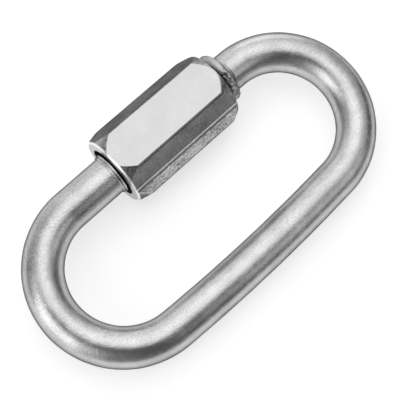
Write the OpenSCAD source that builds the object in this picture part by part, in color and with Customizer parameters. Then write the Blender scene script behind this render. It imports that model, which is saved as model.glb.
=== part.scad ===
// Chain quick link: a round bar bent to a long oval, with a gap in one long side closed by a hexagonal sleeve nut.
// It lies as it comes to rest, on one flat of the nut and on the opposite long side, so the bar is slightly tilted.
// Millimetres, floor at Z = 0, X along the nut. The stop collar is at the +X end of the nut.

/* [Bar] */
// Diameter of the round bar
bar_d = 4; // [3.5:0.1:5]
// Overall length, outside to outside
link_length = 40.2; // [39:0.1:60]
// Bend radius on the nut side, to the middle of the bar
nut_side_bend = 7.4; // [6.5:0.1:9]
// Bend radius on the back side, to the middle of the bar
back_bend = 7.65; // [6.5:0.1:9]
// How far the back side bows outwards at its middle
back_bow = 0.3; // [0.1:0.05:0.8]

/* [Threaded ends] */
// Height of the threaded ends above the bar
thread_rise = 0.4; // [0.3:0.05:0.6]
// Clear gap between the two ends, the gate
gate_gap = 4.8; // [4:0.1:6]
// Length of the short end inside the closed nut
short_end = 2.2; // [1.6:0.1:3]
// Height of the stop collar above the threaded end
collar_rise = 0.5; // [0.3:0.05:0.6]
// Thickness of the stop collar
collar_t = 1.25; // [0.6:0.05:1.4]
// Straight bar between the collar and the bend
collar_to_bend = 1.25; // [0.8:0.05:3]

/* [Nut] */
// Length of the nut
nut_length = 13.35; // [12:0.05:15]
// Wall of the nut at the middle of a flat
nut_wall = 1.125; // [0.9:0.025:1.6]
// Running clearance on each side of the threaded ends
bore_clearance = 0.075; // [0.04:0.005:0.1]
// Height of the countersink at the open mouth above the bore
mouth_flare = 0.25; // [0.15:0.05:0.4]
// Depth of the countersink at the open mouth
mouth_depth = 0.35; // [0.2:0.05:0.6]
// Length of the corner chamfers at the open mouth
mouth_chamfer = 1.25; // [0.6:0.05:1.5]
// Length of the corner chamfers at the collar
stop_chamfer = 1.2; // [0.8:0.05:2]

/* [Hidden] */
$fn = 96;
// The nut side's bends and the bowed back are a hair thicker, and the stretches between them end inside them
thick_r = 0.504 * bar_d;
overlap = bar_d / 40;
back_overlap = overlap / back_bend * 180 / PI;
// Bar: tips of the centre line, half length of the straight side, centres of the back bends
tip_x = link_length / 2 - thick_r;
straight_half = tip_x - nut_side_bend;
back_centre_x = tip_x - back_bend;
// Back side: a wide arc that meets both back bends without a kink
bow_reach = (back_centre_x * back_centre_x + back_bow * back_bow) / (2 * back_bow);
bow_radius = back_bend + bow_reach;
bow_half_angle = asin(back_centre_x / bow_reach);
// Threaded ends and collar
thread_d = bar_d + 2 * thread_rise;
lead = thread_rise;
run_out = 2 * lead;
collar_d = thread_d + 2 * collar_rise;
collar_edge = collar_t / 3;
seat_gap = bar_d / 400;
// Nut along X: stop face, mouth face, and the tips of the two bar ends inside it
stop_x = straight_half - collar_to_bend - collar_t - seat_gap;
mouth_x = stop_x - nut_length;
short_tip_x = stop_x - short_end;
long_tip_x = short_tip_x - gate_gap;
run_out_x = mouth_x - lead;
// Nut across X
bore_d = thread_d + 2 * bore_clearance;
nut_af = bore_d + 2 * nut_wall;
nut_corner_r = nut_af / sqrt(3);
mouth_face_r = 1.028 * nut_af / 2;
stop_face_r = 0.99 * nut_af / 2;
// Rest: the nut's flat and the back side touch the floor together
side_span = nut_side_bend + back_bend + back_bow;
tilt = asin((nut_af / 2 - thick_r) / side_span);
nut_side_y = nut_side_bend * cos(tilt);
back_side_y = -(back_bend + back_bow) * cos(tilt);
centre_y = (nut_side_y + nut_corner_r + back_side_y - thick_r) / 2;
body_z = thick_r + (back_bend + back_bow) * sin(tilt);

// One stretch of bent bar about a centre, from a start angle through a sweep
module bend(x, y, radius, bar_r, start, sweep) {
    translate([x, y, 0])
        rotate([0, 0, start])
            rotate_extrude(angle = sweep)
                translate([radius, 0])
                    circle(r = bar_r);
}

// The two bends at the -X end
module end_bends() {
    back_sweep = 90 - bow_half_angle + 2 * back_overlap;
    bend(-straight_half, 0, nut_side_bend, thick_r, 90, 90);
    bend(-back_centre_x, 0, back_bend, bar_d / 2, 180 - back_overlap, back_sweep);
}

// The three sides of the oval that are only bent
module bent_bar() {
    end_bends();
    mirror([1, 0, 0])
        end_bends();
    bend(0, bow_reach - back_bow, bow_radius, thick_r, 270 - bow_half_angle, 2 * bow_half_angle);
}

// Turns an outline, radius against X, about the axis of the nut
module turned_on_nut_axis() {
    translate([0, nut_side_bend, 0])
        rotate([0, 90, 0])
            rotate_extrude()
                children();
}

// The long end: bar, run-out cone, thread land and lead chamfer
module long_end() {
    bar_start = -straight_half - overlap;
    turned_on_nut_axis()
        polygon([
            [0, bar_start],
            [bar_d / 2, bar_start],
            [bar_d / 2, run_out_x],
            [thread_d / 2, run_out_x + run_out],
            [thread_d / 2, long_tip_x - lead],
            [bar_d / 2, long_tip_x],
            [0, long_tip_x]
        ]);
}

// The short end: lead chamfer, thread land, stop collar and bar
module collar_end() {
    collar_x = stop_x + seat_gap;
    collar_middle = collar_x + collar_t / 2;
    bar_stop = straight_half + overlap;
    turned_on_nut_axis() {
        polygon([
            [0, short_tip_x],
            [bar_d / 2, short_tip_x],
            [thread_d / 2, short_tip_x + lead],
            [thread_d / 2, collar_middle],
            [bar_d / 2, collar_middle],
            [bar_d / 2, bar_stop],
            [0, bar_stop]
        ]);
        translate([0, collar_x])
            collar_outline();
    }
}

// Half section of a disc with a rounded rim
module collar_outline() {
    rim_r = collar_d / 2 - collar_edge;
    square([rim_r, collar_t]);
    translate([0, collar_edge])
        square([collar_d / 2, collar_t - 2 * collar_edge]);
    translate([rim_r, collar_edge])
        circle(r = collar_edge);
    translate([rim_r, collar_t - collar_edge])
        circle(r = collar_edge);
}

module link_body() {
    color([0.74, 0.74, 0.75])
        translate([0, -centre_y, body_z])
            rotate([tilt, 0, 0]) {
                bent_bar();
                long_end();
                collar_end();
            }
}

// A round outline that leaves the flats alone and takes the corners off both ends
module corner_turning() {
    beyond = 0.5;
    outer_r = nut_corner_r + beyond;
    mouth_run = mouth_chamfer * (outer_r - mouth_face_r) / (nut_corner_r - mouth_face_r);
    stop_run = stop_chamfer * (outer_r - stop_face_r) / (nut_corner_r - stop_face_r);
    rotate_extrude()
        polygon([
            [0, 0],
            [mouth_face_r, 0],
            [outer_r, mouth_run],
            [outer_r, nut_length - stop_run],
            [stop_face_r, nut_length],
            [0, nut_length]
        ]);
}

// The hole through the nut, with its countersunk mouth
module bore() {
    bore_r = bore_d / 2;
    rotate_extrude()
        polygon([
            [0, -mouth_depth],
            [bore_r + 2 * mouth_flare, -mouth_depth],
            [bore_r, mouth_depth],
            [bore_r, nut_length + mouth_depth],
            [0, nut_length + mouth_depth]
        ]);
}

module hex_nut() {
    color([0.7, 0.7, 0.71])
        translate([mouth_x, nut_side_y - centre_y, nut_af / 2])
            rotate([0, 90, 0])
                difference() {
                    intersection() {
                        rotate([0, 0, 30])
                            cylinder(h = nut_length, r = nut_corner_r, $fn = 6);
                        corner_turning();
                    }
                    bore();
                }
}

link_body();
hex_nut();
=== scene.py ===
"""Looks of a chain quick link: a bent satin steel bar with threaded ends, closed by a hexagonal sleeve nut.

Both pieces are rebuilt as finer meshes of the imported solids' own sizes. Threads, rounded edges, marks of wear
and the finish of each surface are added here. Sizes are in millimetres up to the point where a mesh, lamp or
camera is made, and the scene is in metres.
"""

import math
from collections import namedtuple

import bpy
import numpy as np
from mathutils import Matrix, Vector

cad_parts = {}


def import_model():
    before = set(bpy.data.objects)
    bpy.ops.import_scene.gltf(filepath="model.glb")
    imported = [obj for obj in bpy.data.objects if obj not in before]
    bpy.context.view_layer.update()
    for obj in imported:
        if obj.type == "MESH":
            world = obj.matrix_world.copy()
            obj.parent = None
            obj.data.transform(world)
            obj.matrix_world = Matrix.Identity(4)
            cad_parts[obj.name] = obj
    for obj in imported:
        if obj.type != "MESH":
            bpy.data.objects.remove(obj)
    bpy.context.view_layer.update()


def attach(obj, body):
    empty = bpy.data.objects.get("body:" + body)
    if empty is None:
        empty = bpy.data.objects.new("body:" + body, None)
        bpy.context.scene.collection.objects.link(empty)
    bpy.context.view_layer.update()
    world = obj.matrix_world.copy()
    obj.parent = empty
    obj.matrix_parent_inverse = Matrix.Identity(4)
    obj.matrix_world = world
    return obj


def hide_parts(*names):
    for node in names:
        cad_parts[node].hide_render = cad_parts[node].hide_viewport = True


MM = 0.001
QUARTER = math.pi / 2

# The bar: radius, unevenness, bends to the middle of the bar, and the tip of the centre line
BAR_R = 2.005
RIPPLE = 0.003
NUT_SIDE_BEND = 7.4
BACK_BEND = 7.65
BACK_BOW = 0.3
TIP_X = 18.084
STRAIGHT_HALF = TIP_X - NUT_SIDE_BEND
BACK_CENTRE_X = TIP_X - BACK_BEND
BOW_REACH = (BACK_CENTRE_X**2 + BACK_BOW**2) / (2 * BACK_BOW)
BOW_HALF_ANGLE = math.asin(BACK_CENTRE_X / BOW_REACH)

# The threaded ends, along X: tips, lead chamfers, and where the long end's thread runs out
THREAD_R = 2.4
THREAD_PITCH = 0.7
THREAD_DEPTH = 0.36
CREST_SHARE = 0.18
FLANK_SHARE = 0.62
LEAD = 0.4
LEAD_SHARES = (0.2, 0.4, 0.6)
TIP_ROUNDING = 0.12
TIP_FACE_SHARES = (0.9, 0.6)
LONG_TIP_X = 1.174
SHORT_TIP_X = 5.974
RUN_OUT_X = -5.576
LAND_END_X = RUN_OUT_X + 2 * LEAD
PLAIN_BAR_X = RUN_OUT_X - 0.5

# How far the thread stays clear of run-out and collar, and how it fades there and at the tips
RUN_OUT_CLEAR = 0.2
RUN_OUT_FADE = 0.9
COLLAR_CLEAR = 0.1
COLLAR_FADE = 0.35
TIP_FADE = 0.05

# The ring at the nut's mouth: a low and a high bead, and a groove between them and the thread, coloured near
# black as painted shade
RING_X = -5.65
LOW_BEAD_X = RING_X + 0.1
LOW_BEAD_R = 0.11
LOW_BEAD_RISE = 0.14
HIGH_BEAD_X = RING_X + 0.35
HIGH_BEAD_R = 0.12
HIGH_BEAD_RISE = 0.235
RING_FOOT = 0.04
RING_FOOT_DIP = 0.01
GROOVE_X = RING_X + 0.5
GROOVE_R = 1.9
GROOVE_WALL = 0.03
GROOVE_WALL_R = 2.2
# painted shade: the span of the long end coloured near black, from the groove to well inside the nut
GROOVE_SHADE_FROM_X = RING_X + 0.44
GROOVE_SHADE_TO_X = RING_X + 2

# The stop collar: a forged rim, a neck towards the nut, and a fillet and bead towards the bend
COLLAR_X = 8.184
COLLAR_T = 1.25
COLLAR_R = 2.9
COLLAR_EDGE = 0.42
COLLAR_NECK = 0.36
# painted shade: how far the near-black colour on the neck reaches from the collar's nut side
NECK_SHADE_REACH = COLLAR_NECK + 0.06
COLLAR_FILLET = 0.14
COLLAR_BEAD_R = 0.09
COLLAR_BEAD_SINK = 0.02
COLLAR_BEAD_GAP = 0.16
COLLAR_BEAD_CLEAR = 0.2

# Wear of the collar: low underside, rough patch towards -Y, and dents (turn in degrees, place along X)
COLLAR_WAVE = 0.01
COLLAR_DROP = 0.32
DROP_TURN = math.radians(260)
DROP_REACH = math.radians(105)
DROP_FADE = math.radians(30)
BURR_WAVE = 0.065
BURR_TURN = math.radians(135)
BURR_SPREAD = math.radians(32)
COLLAR_DENTS = ((96, 8.65), (98, 8.87), (102, 8.97), (106, 8.6), (108, 8.95), (112, 9.02))
DENT_SIZE = 0.15
DENT_DEPTH = 0.12
# painted shade: how deep into a dent the near-black colour starts, 1 being its middle
DENT_SHADE_LEVEL = 0.5

# Unevenness as sums of waves: share, waves in a full turn, radians a millimetre, and start
BAR_WAVES = ((1, 2, 1.7, 0), (1, -3, 1.1, 1), (1, 1, 2.6, 2))
COLLAR_WAVES = ((1, 11, 6, 0), (0.8, 19, -9, 1), (0.7, 29, 7, 2))

# The nut: its mouth face along X, its length and its half width across flats
NUT_MOUTH_X = -5.176
NUT_LENGTH = 13.35
NUT_HALF_AF = 3.6
HALF_SIDE = math.pi / 6
NUT_CORNER_R = NUT_HALF_AF / math.cos(HALF_SIDE)
NUT_EDGE_R = 0.1
FACE_SHARES = (0.05, 0.5, 0.95)

# The nut's ends, from the mouth face: corner chamfers, the rim bevel at the mouth and the eased stop edge
MOUTH_FACE_R = 3.64
MOUTH_CHAMFER = 1.5
MOUTH_BEVEL = 0.18
MOUTH_BEVEL_RISE = 0.14
STOP_FACE_R = 3.564
STOP_CHAMFER = 1.2
STOP_EDGE_R = 0.05
CHAMFER_SOFTNESS = 0.07

# The hole through the nut, from the mouth face: countersink, counterbore and thread
BORE_R = 2.475
MOUTH_FLARE = 0.2
MOUTH_DEPTH = 0.35
COUNTERBORE = 1.7
STOP_FLARE = 0.1
NUT_THREAD_DEPTH = 0.22
NUT_THREAD_FADE = 0.5

# Ridges, furrows and painted lines along the nut, as turns from its -Y corner or from the middle of its upper
# and lower flats: the ridges carry a painted highlight, and the corner and the dark line are painted shade
# painted highlight: a low ridge on each -Y flat, coloured bright
HIGHLIGHT_RIDGE = math.radians(25.4)
HIGHLIGHT_RIDGE_WIDTH = math.radians(1.4)
HIGHLIGHT_RIDGE_RISE = 0.04
HIGHLIGHT_RIDGE_PAINT = 0.99 * HIGHLIGHT_RIDGE_WIDTH
FURROW = math.radians(21)
FURROW_WIDTH = math.radians(2.2)
FURROW_DEPTH = 0.015
# painted shade: a dark strip on the -Y corner
PAINTED_SHADE_CORNER = math.radians(2.4)
# painted shade: a near-black line just past the corners of the upper and lower flats on the -Y side, standing
# in for a dark reflection
PAINTED_SHADE_LINE = math.radians(32.5)
PAINTED_SHADE_LINE_WIDTH = math.radians(1.0)
UPPER_FLAT = HALF_SIDE - 0.01

# How far below its flat a point still counts as on it, and how far the bevel's finish reaches
FLAT_MARGIN = 0.02
BEVEL_FINISH = MOUTH_BEVEL - 0.01

# How the link lies: tilted about X on the nut's flat and its back side, which is a hair thicker in the CAD
CAD_BACK_R = 2.016
TILT = math.asin((NUT_HALF_AF - CAD_BACK_R) / (NUT_SIDE_BEND + BACK_BEND + BACK_BOW))
BODY_PLACE = Vector((0, -0.7969, 2.8364)) * MM
NUT_PLACE = Vector((NUT_MOUTH_X, 6.5636, NUT_HALF_AF)) * MM

# How finely the meshes are cut: the bar and its ends, then the nut
AROUND_BAR = 160
BAR_STEP = 0.3
BEND_STEP = math.radians(1.8)
FEWEST_IN_BEND = 24
THREAD_STEP = THREAD_PITCH / 14
NECK_STEP = 0.05
NECK_INSET = 0.02
LAND_INSET = 0.03
AROUND_FLAT = 40
AROUND_CORNER = 9
AROUND_HIGHLIGHT_RIDGE = 7
END_STEP = 0.04
END_MARGIN = 0.3
BEVEL_CLEAR = 0.05
EDGE_CLEAR = 0.03
MIDDLE_MARGIN = 0.4
ALONG_MIDDLE = 10
ALONG_STOP_EDGE = 6
BEVEL_SHARES = (0, 0.06, 0.35, 0.65, 0.94, 1.0, 1.06)
BORE_STEP = THREAD_PITCH / 8
BORE_STEP_IN = 0.1
MOUTH_STEP_IN = 0.02
ALONG_COUNTERBORE = 5
ALONG_COUNTERSINK = 6

# Grain and clouds of the steel: counts in a metre, share of the clouds, relief in metres, and the spans of
# their value that colour and gloss are spread over
GRAINS = 7500
COARSE_GRAINS = 3800
DRAWN_GRAINS = 4800
CLOUDS = 420
CLOUD_SHARE = 0.4
GRAIN_RELIEF = 0.00002
COLOUR_SPAN = (0.32, 0.68)
GLOSS_SPAN = (0.3, 0.7)
BLUE_CAST = 1.01

# The steel finishes: greys, roughness, tint at grazing angles, and slope and count of the grain. Some of them
# carry painted shade or painted highlights, as noted at each.
FINISHES = {
    "bar_steel": dict(greys=(0.42, 0.7), gloss=(0.16, 0.28), edge_tint=0.06, slope=1.2, grains=GRAINS),
    "smooth_steel": dict(greys=(0.46, 0.55), gloss=(0.13, 0.2), edge_tint=0.15, slope=0.25, grains=GRAINS),
    # grainy steel, darker than the top and bottom flats as painted shade, on the +Y flats and off the flats
    "drawn_and_shaded_steel": dict(greys=(0.1, 0.6), gloss=(0.14, 0.26), edge_tint=0.2, slope=2.0, grains=DRAWN_GRAINS),
    # painted shade: dark steel on the -Y flats away from the corner, standing in for a dark reflection
    "painted_dark_flat_steel": dict(greys=(0.12, 0.36), gloss=(0.14, 0.26), edge_tint=0.2, slope=1.4, grains=GRAINS),
    "faced_steel": dict(greys=(0.5, 0.66), gloss=(0.2, 0.3), edge_tint=0.8, slope=0.4, grains=GRAINS),
    # coarse grainy steel, also lighter as painted light on the -Y flats beside the corner
    "coarse_and_lit_steel": dict(
        greys=(0.22, 1.0), gloss=(0.16, 0.34), edge_tint=0.15, slope=4.0, grains=COARSE_GRAINS
    ),
    # bright cut steel, for the mouth bevel and as a painted highlight on the ridges
    "cut_and_highlight_steel": dict(greys=(0.75, 0.88), gloss=(0.2, 0.3), edge_tint=0.9, slope=0.3, grains=GRAINS),
    "forged_steel": dict(greys=(0.25, 0.65), gloss=(0.22, 0.36), edge_tint=0.3, slope=2.0, grains=GRAINS),
    # painted shade: near-black steel that stands in for the shade in the nut's bore, the groove at its mouth,
    # the collar's neck and dents, and on lines along the nut
    "painted_shade_steel": dict(greys=(0.03, 0.08), gloss=(0.4, 0.6), edge_tint=0.3, slope=0.3, grains=GRAINS),
}

# Which finishes each piece has, in the order of its material numbers
LINK_FINISHES = ("bar_steel", "forged_steel", "painted_shade_steel")
BAR, FORGED, LINK_PAINTED_SHADE = range(3)
NUT_FINISHES = (
    "smooth_steel", "drawn_and_shaded_steel", "painted_dark_flat_steel", "coarse_and_lit_steel", "cut_and_highlight_steel", "faced_steel", "painted_shade_steel"
)
SMOOTH, DRAWN_AND_SHADED, PAINTED_DARK_FLAT, COARSE_AND_LIT, CUT_AND_HIGHLIGHT, FACED, NUT_PAINTED_SHADE = range(7)

# The stage: a pale floor, its lift towards white where it is seen, a grey room, and what the lamps aim at
FLOOR_REACH = 600
FLOOR_GREY = 0.62
FLOOR_LIFT = 0.58
ROOM_GREY = 0.1
LAMP_AIM = Vector((0, 0, 3)) * MM

# The camera, at the photograph's viewing angle
CAMERA_PLACE = Vector((-20.618, -16.961, 87.777)) * MM
CAMERA_AIM = Vector((-0.806, -0.99, 2.836)) * MM
CAMERA_ROLL = math.radians(7.777)
CAMERA_FIELD = math.radians(24.522)
CAMERA_NEAR = 1 * MM

# One section of the bar: its middle, its outward angle, and its radius and finish at each turn
Section = namedtuple("Section", "x y angle radius finish")


def arc(x, r, radius, start, stop, steps):
    """Points (place along the axis, distance from it) on an arc between two angles in degrees."""
    angles = np.radians(np.linspace(start, stop, steps))
    return [(x + radius * math.cos(a), r + radius * math.sin(a)) for a in angles]


def spread(start, stop, step, r):
    """Points of an outline at one radius, no further apart than a step."""
    count = max(2, math.ceil(abs(stop - start) / step) + 1)
    return [(x, r) for x in np.linspace(start, stop, count)]


def lead_chamfer(thread_x, direction):
    """Points of the lead chamfer of a threaded end, from the thread towards its tip."""
    return [(thread_x + direction * t * LEAD, THREAD_R - t * (THREAD_R - BAR_R)) for t in LEAD_SHARES]


def tip_face(x):
    """Points of the flat face of a threaded end, from its edge inwards."""
    return [(x, share * BAR_R) for share in TIP_FACE_SHARES]


def mouth_ring():
    """Outline of the groove and the two beads at the nut's mouth, from the thread towards the bend."""
    high_r = BAR_R + HIGH_BEAD_RISE - HIGH_BEAD_R
    low_r = BAR_R + LOW_BEAD_RISE - LOW_BEAD_R
    return (
        [(LAND_END_X - GROOVE_WALL, GROOVE_WALL_R)]
        + [(LAND_END_X - 2 * GROOVE_WALL, GROOVE_R), (GROOVE_X, GROOVE_R)]
        + arc(HIGH_BEAD_X, high_r, HIGH_BEAD_R, -20, 160, 9)
        + arc(LOW_BEAD_X, low_r, LOW_BEAD_R, 30, 165, 7)
        + [(RING_X - RING_FOOT, BAR_R - RING_FOOT_DIP)]
        + [(RING_X - 2 * RING_FOOT, BAR_R), (RING_X - 5 * RING_FOOT, BAR_R)]
    )


def long_end_outline():
    """Outline of the long end from its tip to the bend."""
    thread_x = LONG_TIP_X - LEAD
    return (
        tip_face(LONG_TIP_X)[::-1]
        + arc(LONG_TIP_X - TIP_ROUNDING, BAR_R - TIP_ROUNDING, TIP_ROUNDING, 0, 45, 4)
        + lead_chamfer(thread_x, 1)[::-1]
        + spread(thread_x, LAND_END_X, THREAD_STEP, THREAD_R)
        + mouth_ring()
        + spread(PLAIN_BAR_X, -STRAIGHT_HALF, BAR_STEP, BAR_R)
    )


def collar_rim():
    """Outline of the collar with its fillet, from the bend to the neck beside the nut."""
    back = COLLAR_X + COLLAR_T
    front = COLLAR_X + COLLAR_NECK
    rim = COLLAR_R - COLLAR_EDGE
    return (
        arc(back + COLLAR_FILLET, BAR_R + COLLAR_FILLET, COLLAR_FILLET, 270, 180, 5)
        + [(back, 0.5 * (BAR_R + rim))]
        + arc(back - COLLAR_EDGE, rim, COLLAR_EDGE, 0, 90, 9)
        + arc(front + COLLAR_EDGE, rim, COLLAR_EDGE, 90, 180, 9)
        + [(front, 0.5 * (THREAD_R + rim))]
    )


def collar_end_outline():
    """Outline of the short end from the bend to its tip, with a neck between the collar and the nut."""
    bead_x = COLLAR_X + COLLAR_T + COLLAR_FILLET + COLLAR_BEAD_GAP
    neck_x = COLLAR_X + COLLAR_NECK - NECK_INSET
    thread_x = SHORT_TIP_X + LEAD
    return (
        spread(STRAIGHT_HALF, bead_x + COLLAR_BEAD_CLEAR, BAR_STEP, BAR_R)
        + arc(bead_x, BAR_R - COLLAR_BEAD_SINK, COLLAR_BEAD_R, 15, 165, 7)
        + collar_rim()
        + spread(neck_x, COLLAR_X, NECK_STEP, THREAD_R)
        + spread(COLLAR_X - LAND_INSET, thread_x, THREAD_STEP, THREAD_R)
        + lead_chamfer(thread_x, -1)
        + arc(SHORT_TIP_X + TIP_ROUNDING, BAR_R - TIP_ROUNDING, TIP_ROUNDING, 135, 180, 4)
        + tip_face(SHORT_TIP_X)
    )


def groove(x, turn):
    """Depth of a right-hand thread's groove at a place and a turn about X, 0 at the crest, 1 at the root."""
    wave = np.abs(2 * np.mod(x / THREAD_PITCH - turn / (2 * math.pi), 1.0) - 1)
    return np.clip((wave - CREST_SHARE) / FLANK_SHARE, 0, 1)


def thread_fade(x):
    """How much of the thread is cut at a place along X: all of it on the lands, none on the plain bar."""
    long_land = min((LONG_TIP_X - x) / TIP_FADE, (x - RUN_OUT_X - RUN_OUT_CLEAR) / RUN_OUT_FADE)
    short_land = min((x - SHORT_TIP_X) / TIP_FADE, (COLLAR_X - COLLAR_CLEAR - x) / COLLAR_FADE)
    return float(np.clip(max(long_land, short_land), 0, 1))


def threaded_radius(x, r, turns):
    """Radius of an outline point of a bar end at each turn, with the thread cut into it up to the collar."""
    if x >= COLLAR_X:
        return np.full(len(turns), r)
    return np.minimum(THREAD_R - THREAD_DEPTH * groove(x, turns) * thread_fade(x), r)


def uneven(waves, turns, along):
    """A sum of waves at each turn and one place along."""
    return sum(share * np.sin(around * turns + rate * along + start) for share, around, rate, start in waves)


def collar_dents(x, turns):
    """Depth of the collar's dents at a place and each turn, 1 at the middle of a dent."""
    depth = np.zeros(len(turns))
    for turn, place in COLLAR_DENTS:
        away = np.hypot(COLLAR_R * (turns - math.radians(turn)), x - place)
        depth = np.maximum(depth, np.exp(-((away / DENT_SIZE) ** 2)))
    return depth


def collar_radius(x, r, turns):
    """Radius of an outline point of the collar at each turn: an uneven forged rim with a rough patch."""
    patch = np.exp(-(((turns - BURR_TURN) / BURR_SPREAD) ** 2))
    rough = uneven(COLLAR_WAVES, turns, x) * (COLLAR_WAVE + patch * (BURR_WAVE - COLLAR_WAVE))
    under = np.clip((DROP_REACH - np.abs(turns - DROP_TURN)) / DROP_FADE, 0, 1)
    share = np.clip((r - THREAD_R) / (COLLAR_R - THREAD_R), 0, 1)
    return r + share * (rough - COLLAR_DROP * under - DENT_DEPTH * collar_dents(x, turns))


def long_end_finish(x, turns):
    """Finish of the long end at each turn: painted shade in the groove at the nut's mouth, plain elsewhere."""
    in_groove_shade = GROOVE_SHADE_FROM_X < x < GROOVE_SHADE_TO_X
    return np.full(len(turns), LINK_PAINTED_SHADE if in_groove_shade else BAR)


def collar_end_finish(x, turns):
    """Finish of the short end at each turn: painted shade on the neck and in the dents of the rough collar,
    plain elsewhere.
    """
    if not COLLAR_X < x <= COLLAR_X + COLLAR_T:
        return np.full(len(turns), BAR)
    # painted shade: near black on the neck and in the middle of each dent
    if x < COLLAR_X + NECK_SHADE_REACH:
        return np.full(len(turns), LINK_PAINTED_SHADE)
    return np.where(collar_dents(x, turns) > DENT_SHADE_LEVEL, LINK_PAINTED_SHADE, FORGED)


def bends():
    """The five bends of the centre line in order: centre, radius, and the angles that each runs between."""
    bow_start = 3 * QUARTER - BOW_HALF_ANGLE
    bow_stop = 3 * QUARTER + BOW_HALF_ANGLE
    return (
        (-STRAIGHT_HALF, 0, NUT_SIDE_BEND, QUARTER, 2 * QUARTER),
        (-BACK_CENTRE_X, 0, BACK_BEND, 2 * QUARTER, bow_start),
        (0, BOW_REACH - BACK_BOW, BACK_BEND + BOW_REACH, bow_start, bow_stop),
        (BACK_CENTRE_X, 0, BACK_BEND, bow_stop, 4 * QUARTER),
        (STRAIGHT_HALF, 0, NUT_SIDE_BEND, 4 * QUARTER, 5 * QUARTER),
    )


def bend_sections(turns):
    """Sections of the bent bar, slightly uneven along its run."""
    sections = []
    finish = np.full(len(turns), BAR)
    run = 0
    for x, y, bend, start, stop in bends():
        count = max(round((stop - start) / BEND_STEP), FEWEST_IN_BEND)
        for angle in np.linspace(start, stop, count + 1)[1:]:
            run += bend * (stop - start) / count
            radius = BAR_R + RIPPLE * uneven(BAR_WAVES, turns, run)
            middle_x = x + bend * math.cos(angle)
            middle_y = y + bend * math.sin(angle)
            sections.append(Section(middle_x, middle_y, angle, radius, finish))
    return sections


def link_sections(turns):
    """All sections of the bar, from the tip of the long end round to the tip of the short end."""
    sections = []
    for x, r in long_end_outline():
        radius = threaded_radius(x, r, turns)
        sections.append(Section(x, NUT_SIDE_BEND, QUARTER, radius, long_end_finish(x, turns)))
    sections += bend_sections(turns)
    for x, r in collar_end_outline()[1:]:
        radius = collar_radius(x, threaded_radius(x, r, turns), turns)
        sections.append(Section(x, NUT_SIDE_BEND, 5 * QUARTER, radius, collar_end_finish(x, turns)))
    return sections


def section_points(section, turns):
    """Points of one section of the bar, with the bar's bends in the XY plane."""
    out = section.radius * np.cos(turns)
    x = section.x + out * math.cos(section.angle)
    y = section.y + out * math.sin(section.angle)
    return np.column_stack([x, y, section.radius * np.sin(turns)])


def tube_faces(rings, around, closed):
    """Faces between neighbouring rings of points, outwards where the rings follow each other towards +X."""
    faces = []
    for i in range(rings if closed else rings - 1):
        low = i * around
        high = ((i + 1) % rings) * around
        for j in range(around):
            k = (j + 1) % around
            faces.append((low + j, low + k, high + k, high + j))
    return faces


def mesh_object(name, points, faces, finish, matrix):
    """A smooth-shaded object from points in millimetres, with a finish for each face, placed in the frame."""
    mesh = bpy.data.meshes.new(name)
    mesh.from_pydata([tuple(p) for p in np.asarray(points) * MM], [], faces)
    mesh.transform(matrix)
    mesh.validate()
    mesh.polygons.foreach_set("use_smooth", [True] * len(mesh.polygons))
    mesh.polygons.foreach_set("material_index", finish)
    mesh.update()
    piece = bpy.data.objects.new(name, mesh)
    bpy.context.scene.collection.objects.link(piece)
    return piece


def make_link():
    """The bent bar with its threaded ends and collar, as one closed skin. It sets out towards -X."""
    turns = np.linspace(0, 2 * math.pi, AROUND_BAR, endpoint=False)
    sections = link_sections(turns)
    points = [section_points(section, turns) for section in sections]
    points.append([(LONG_TIP_X, NUT_SIDE_BEND, 0), (SHORT_TIP_X, NUT_SIDE_BEND, 0)])
    faces = [face[::-1] for face in tube_faces(len(sections), AROUND_BAR, closed=False)]
    long_tip = len(sections) * AROUND_BAR
    short_tip = long_tip + 1
    last = long_tip - AROUND_BAR
    for j in range(AROUND_BAR):
        k = (j + 1) % AROUND_BAR
        faces.append((long_tip, j, k))
        faces.append((short_tip, last + k, last + j))
    finish = [section.finish for section in sections[:-1]]
    finish.append(np.full(2 * AROUND_BAR, BAR))
    place = Matrix.Translation(BODY_PLACE) @ Matrix.Rotation(TILT, 4, "X")
    return mesh_object("link_bar", np.concatenate(points), faces, np.concatenate(finish), place)


def hexagon_turns():
    """Turns about the nut's axis, from +Y towards +Z, closest together at the corners and at the ridges painted
    as highlights.
    """
    half_width = (NUT_HALF_AF - NUT_EDGE_R) * math.tan(HALF_SIDE)
    flat_end = math.atan(half_width / NUT_HALF_AF)
    corner = HALF_SIDE - flat_end
    turns = []
    for side in range(6):
        middle = HALF_SIDE + side * 2 * HALF_SIDE
        turns += list(middle + np.linspace(-flat_end, flat_end, AROUND_FLAT, endpoint=False))
        turns += list(middle + HALF_SIDE + np.linspace(-corner, corner, AROUND_CORNER, endpoint=False))
    for line in (math.pi - HIGHLIGHT_RIDGE, math.pi + HIGHLIGHT_RIDGE):
        turns += list(line + HIGHLIGHT_RIDGE_WIDTH * np.linspace(-1, 1, AROUND_HIGHLIGHT_RIDGE))
    return np.sort(turns)


def hexagon_radius(turns):
    """Radius of a hexagon with rounded corners at each turn: two flats up and down, two corners along Y."""
    off_flat = np.mod(turns, 2 * HALF_SIDE) - HALF_SIDE
    off_corner = np.mod(turns + HALF_SIDE, 2 * HALF_SIDE) - HALF_SIDE
    flat = NUT_HALF_AF / np.cos(off_flat)
    middle = (NUT_HALF_AF - NUT_EDGE_R) / math.cos(HALF_SIDE)
    inside = np.clip(NUT_EDGE_R**2 - (middle * np.sin(off_corner)) ** 2, 0, None)
    rounded = middle * np.cos(off_corner) + np.sqrt(inside)
    return np.where(inside > 0, np.minimum(flat, rounded), flat)


def soft_min(a, b, width):
    """The smaller of two sizes, with the change from one to the other rounded over a width."""
    h = np.clip(0.5 + 0.5 * (b - a) / width, 0, 1)
    return b * (1 - h) + a * h - width * h * (1 - h)


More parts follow.
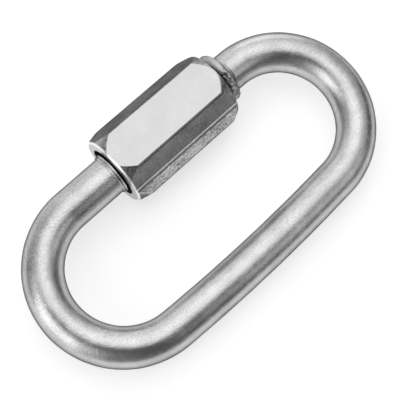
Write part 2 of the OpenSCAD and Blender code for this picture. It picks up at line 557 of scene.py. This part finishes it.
def swell(turns, middle, half_width):
    """A rounded rise from 0 to 1 and back across a line."""
    return np.clip(1 - ((turns - middle) / half_width) ** 2, 0, 1)


def nut_outside(x, turns):
    """Radius of the nut's outside at a place from its mouth: marked flats, chamfers, bevel and eased edge."""
    off_corner = np.abs(turns - math.pi)
    ridge = HIGHLIGHT_RIDGE_RISE * swell(off_corner, HIGHLIGHT_RIDGE, HIGHLIGHT_RIDGE_WIDTH)
    furrow = FURROW_DEPTH * swell(off_corner, FURROW, FURROW_WIDTH)
    flats = hexagon_radius(turns) + ridge - furrow
    mouth = MOUTH_FACE_R + x * (NUT_CORNER_R - MOUTH_FACE_R) / MOUTH_CHAMFER
    stop = STOP_FACE_R + (NUT_LENGTH - x) * (NUT_CORNER_R - STOP_FACE_R) / STOP_CHAMFER
    from_edge = STOP_EDGE_R - min(NUT_LENGTH - x, STOP_EDGE_R)
    eased = STOP_EDGE_R - math.sqrt(max(STOP_EDGE_R**2 - from_edge**2, 0))
    bevel = MOUTH_BEVEL_RISE * max(0, 1 - x / MOUTH_BEVEL)
    return soft_min(flats, min(mouth, stop), CHAMFER_SOFTNESS) - eased - bevel


def nut_outside_finish(x, turns):
    """Finish of the nut's outside at each turn, with painted light on the flats: a painted highlight on the
    ridges, painted shade on the -Y corner, on a line past the corners and over the -Y flats, a lighter band
    beside the -Y corner, and the darker drawn steel elsewhere, the +Y flats included. The first mark that a
    place on a flat has decides it.
    """
    if x < BEVEL_FINISH:
        return np.full(len(turns), CUT_AND_HIGHLIGHT)
    off_top = np.abs(np.mod(turns, math.pi) - QUARTER)
    off_corner = np.abs(turns - math.pi)
    towards_corner = off_corner < QUARTER
    in_furrow = np.abs(off_corner - FURROW) < FURROW_WIDTH
    marks = (
        # painted highlight: the ridges coloured bright
        (np.abs(off_corner - HIGHLIGHT_RIDGE) < HIGHLIGHT_RIDGE_PAINT, CUT_AND_HIGHLIGHT),
        # painted shade on the -Y corner
        (off_corner < PAINTED_SHADE_CORNER, PAINTED_DARK_FLAT),
        # painted shade: the near-black line past the corners
        ((np.abs(off_top - PAINTED_SHADE_LINE) < PAINTED_SHADE_LINE_WIDTH) & towards_corner, NUT_PAINTED_SHADE),
        (off_top < UPPER_FLAT, SMOOTH),
        # painted light: a lighter grainy band beside the -Y corner, but not in the furrows
        ((off_corner < HIGHLIGHT_RIDGE) & ~in_furrow, COARSE_AND_LIT),
        # painted shade: the rest of the -Y flats, the furrows included, dark
        (towards_corner, PAINTED_DARK_FLAT),
    )
    on_flat = nut_outside(x, turns) > hexagon_radius(turns) - FLAT_MARGIN
    # painted shade: the +Y flats and every place off the flats take the darker drawn steel
    return np.select([on_flat & where for where, finish in marks], [finish for where, finish in marks], DRAWN_AND_SHADED)


def nut_outside_places():
    """Places along the nut's outside, closest together at its two ends."""
    bevel = MOUTH_BEVEL * np.array(BEVEL_SHARES)
    mouth = np.arange(MOUTH_BEVEL + BEVEL_CLEAR, MOUTH_CHAMFER + END_MARGIN, END_STEP)
    middle_stop = NUT_LENGTH - STOP_CHAMFER - MIDDLE_MARGIN
    middle = np.linspace(MOUTH_CHAMFER + MIDDLE_MARGIN, middle_stop, ALONG_MIDDLE)
    stop = np.arange(STOP_CHAMFER + END_MARGIN, STOP_EDGE_R + EDGE_CLEAR, -END_STEP)
    edge = STOP_EDGE_R * (1 - np.cos(np.linspace(0, QUARTER, ALONG_STOP_EDGE)))
    return np.concatenate([bevel, mouth, middle, NUT_LENGTH - stop, NUT_LENGTH - edge[::-1]])


def nut_bore(x, turns):
    """Radius of the hole at a place from the mouth: countersink, counterbore, then thread to the stop."""
    if x < MOUTH_DEPTH:
        return np.full(len(turns), BORE_R + MOUTH_FLARE * (1 - x / MOUTH_DEPTH))
    fade = np.clip((x - COUNTERBORE) / NUT_THREAD_FADE, 0, 1)
    thread = BORE_R - NUT_THREAD_DEPTH * groove(x + NUT_MOUTH_X, turns) * fade
    return np.maximum(thread, BORE_R + STOP_FLARE - (NUT_LENGTH - x))


def nut_bore_places():
    """Places along the hole, from the stop face to the mouth face."""
    thread = np.arange(NUT_LENGTH, COUNTERBORE, -BORE_STEP)
    counterbore = np.linspace(COUNTERBORE - BORE_STEP_IN, MOUTH_DEPTH + MOUTH_STEP_IN, ALONG_COUNTERBORE)
    countersink = np.linspace(MOUTH_DEPTH, 0, ALONG_COUNTERSINK)
    return np.concatenate([thread, counterbore, countersink])


def face_rings(x, start, stop):
    """Rings of a flat end face between two radii."""
    return [(x, start + share * (stop - start)) for share in FACE_SHARES]


def ring_points(x, radius, turns):
    """Points of one ring of the nut."""
    return np.column_stack([np.full(len(turns), x), radius * np.cos(turns), radius * np.sin(turns)])


def make_nut():
    """The sleeve nut as one closed skin: outside, stop face, bore and mouth face."""
    turns = hexagon_turns()
    outside = [(x, nut_outside(x, turns)) for x in nut_outside_places()]
    bore = [(x, nut_bore(x, turns)) for x in nut_bore_places()]
    stop_face = face_rings(NUT_LENGTH, outside[-1][1], bore[0][1])
    mouth_face = face_rings(0.0, bore[-1][1], outside[0][1])
    rings = outside + stop_face + bore + mouth_face
    points = [ring_points(x, radius, turns) for x, radius in rings]
    faces = tube_faces(len(rings), len(turns), closed=True)
    finish = [nut_outside_finish(x, turns) for x, radius in outside]
    finish += [np.full(len(turns), FACED)] * len(stop_face)
    # painted shade: the whole bore, countersink and counterbore included, is coloured near black
    finish += [np.full(len(turns), NUT_PAINTED_SHADE)] * len(bore)
    finish += [np.full(len(turns), FACED)] * len(mouth_face)
    place = Matrix.Translation(NUT_PLACE)
    return mesh_object("sleeve_nut", np.concatenate(points), faces, np.concatenate(finish), place)


def node(tree, kind, **inputs):
    """A shader node with some inputs set or linked: a node socket is linked, anything else is a value."""
    made = tree.nodes.new(kind)
    for name, value in inputs.items():
        socket = made.inputs[name.replace("_", " ")]
        if isinstance(value, bpy.types.NodeSocket):
            tree.links.new(value, socket)
        else:
            socket.default_value = value
    return made


def noise(tree, vector, scale, detail, roughness):
    """A noise texture's value."""
    made = node(tree, "ShaderNodeTexNoise", Vector=vector, Scale=scale, Detail=detail, Roughness=roughness)
    return made.outputs[0]


def ranged(tree, value, low, high):
    """A value from the span of the gloss, spread out between two limits."""
    first, last = GLOSS_SPAN
    made = node(
        tree, "ShaderNodeMapRange", Value=value, From_Min=first, From_Max=last, To_Min=low, To_Max=high
    )
    return made.outputs[0]


def grey_ramp(tree, value, greys):
    """A colour between a dark and a light grey, by a value from the span of the colour."""
    ramp = node(tree, "ShaderNodeValToRGB", Fac=value)
    for element, position, grey in zip(ramp.color_ramp.elements, COLOUR_SPAN, greys):
        element.position = position
        element.color = (grey, grey, BLUE_CAST * grey, 1)
    return ramp.outputs[0]


def steel(name, greys, gloss, edge_tint, slope, grains):
    """Tumbled stainless steel: fine grain in colour, gloss and relief, over wide faint clouds."""
    material = bpy.data.materials.new(name)
    material.use_nodes = True
    tree = material.node_tree
    shader = tree.nodes["Principled BSDF"]
    shader.inputs["Metallic"].default_value = 1.0
    shader.inputs["Specular Tint"].default_value = (edge_tint, edge_tint, edge_tint, 1)
    place = tree.nodes.new("ShaderNodeTexCoord").outputs["Object"]
    grain = noise(tree, place, grains, detail=3.0, roughness=0.6)
    cloud = noise(tree, place, CLOUDS, detail=2.0, roughness=0.55)
    mixed = node(tree, "ShaderNodeMix", Factor=CLOUD_SHARE, A=grain, B=cloud).outputs[0]
    relief = node(tree, "ShaderNodeBump", Strength=slope, Distance=GRAIN_RELIEF, Height=grain)
    tree.links.new(grey_ramp(tree, mixed, greys), shader.inputs["Base Color"])
    tree.links.new(ranged(tree, mixed, *gloss), shader.inputs["Roughness"])
    tree.links.new(relief.outputs[0], shader.inputs["Normal"])
    return material


def softbox(name, place, size, radiance):
    """A rectangular lamp of a given brightness, in millimetres, facing the link."""
    lamp = bpy.data.lights.new(name, "AREA")
    lamp.shape = "RECTANGLE"
    lamp.size = size[0] * MM
    lamp.size_y = size[1] * MM
    lamp.energy = radiance * math.pi * lamp.size * lamp.size_y
    made = bpy.data.objects.new(name, lamp)
    made.location = Vector(place) * MM
    made.rotation_euler = (LAMP_AIM - made.location).to_track_quat("-Z", "Y").to_euler()
    bpy.context.scene.collection.objects.link(made)


def make_lights():
    """Softboxes overhead and on every side, with small bright ones inside large dim ones, in a grey room."""
    softbox("overhead_core", place=(13, 20, 102), size=(88, 100), radiance=0.45)
    softbox("overhead_middle", place=(25, 32, 98), size=(140, 165), radiance=0.46)
    softbox("overhead_edge", place=(79, 93, 171), size=(560, 420), radiance=0.45)
    softbox("left_core", place=(-176, 10, 92), size=(130, 170), radiance=1.4)
    softbox("left_edge", place=(-176, -10, 100), size=(240, 210), radiance=0.35)
    softbox("left_far", place=(-140, 130, 90), size=(120, 120), radiance=0.25)
    softbox("right_side", place=(82, -145, 114), size=(120, 110), radiance=0.66)
    softbox("front_low", place=(-133, -135, 66), size=(260, 90), radiance=0.1)
    softbox("far_side", place=(40, 220, 60), size=(480, 120), radiance=0.42)
    softbox("far_strip", place=(165, 150, 35), size=(160, 70), radiance=1.0)
    world = bpy.data.worlds.new("room")
    world.use_nodes = True
    world.node_tree.nodes["Background"].inputs["Color"].default_value = (ROOM_GREY, ROOM_GREY, ROOM_GREY, 1)
    bpy.context.scene.world = world


def background_share(tree):
    """1 for rays that show the background: from the camera, or off or through the object. 0 for the rest."""
    path = tree.nodes.new("ShaderNodeLightPath")
    seen = tree.nodes.new("ShaderNodeMath")
    tree.links.new(path.outputs["Is Camera Ray"], seen.inputs[0])
    tree.links.new(path.outputs["Is Glossy Ray"], seen.inputs[1])
    shown = tree.nodes.new("ShaderNodeMath")
    shown.use_clamp = True
    tree.links.new(seen.outputs[0], shown.inputs[0])
    tree.links.new(path.outputs["Is Transmission Ray"], shown.inputs[1])
    return shown.outputs[0]


def floor_material():
    """A matt pale grey that is lifted to white where it is seen, and still takes a shadow."""
    material = bpy.data.materials.new("floor_white")
    material.use_nodes = True
    tree = material.node_tree
    shader = tree.nodes["Principled BSDF"]
    shader.inputs["Base Color"].default_value = (FLOOR_GREY, FLOOR_GREY, FLOOR_GREY, 1)
    shader.inputs["Roughness"].default_value = 1.0
    shader.inputs["Specular IOR Level"].default_value = 0.0
    shader.inputs["Emission Color"].default_value = (1, 1, 1, 1)
    lift = tree.nodes.new("ShaderNodeMath")
    lift.operation = "MULTIPLY"
    lift.inputs[1].default_value = FLOOR_LIFT
    tree.links.new(background_share(tree), lift.inputs[0])
    tree.links.new(lift.outputs[0], shader.inputs["Emission Strength"])
    return material


def make_floor():
    """A plain pale floor that keeps the link's shadow and reads as white."""
    reach = FLOOR_REACH * MM
    corners = [(-reach, -reach, 0), (reach, -reach, 0), (reach, reach, 0), (-reach, reach, 0)]
    mesh = bpy.data.meshes.new("floor")
    mesh.from_pydata(corners, [], [(0, 1, 2, 3)])
    mesh.materials.append(floor_material())
    floor = bpy.data.objects.new("floor", mesh)
    bpy.context.scene.collection.objects.link(floor)


def make_camera():
    """The camera, aimed and rolled as the photograph was taken."""
    lens = bpy.data.cameras.new("camera")
    lens.angle = CAMERA_FIELD
    lens.clip_start = CAMERA_NEAR
    camera = bpy.data.objects.new("camera", lens)
    look = (CAMERA_AIM - CAMERA_PLACE).to_track_quat("-Z", "Y").to_matrix().to_4x4()
    roll = Matrix.Rotation(CAMERA_ROLL, 4, "Z")
    camera.matrix_world = Matrix.Translation(CAMERA_PLACE) @ look @ roll
    bpy.context.scene.collection.objects.link(camera)
    bpy.context.scene.camera = camera


def dress(piece, materials, body, cad_node):
    """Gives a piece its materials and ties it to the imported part."""
    for material in materials:
        piece.data.materials.append(material)
    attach(piece, body)
    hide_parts(cad_node)


def main():
    """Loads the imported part, sets the stage, and makes and dresses both pieces."""
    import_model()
    bpy.context.scene.view_settings.view_transform = "Standard"
    make_camera()
    make_floor()
    make_lights()
    steels = {name: steel(name, **finish) for name, finish in FINISHES.items()}
    dress(make_link(), [steels[name] for name in LINK_FINISHES], "link", "link_body")
    dress(make_nut(), [steels[name] for name in NUT_FINISHES], "nut", "hex_nut")
    bpy.context.view_layer.update()


main()
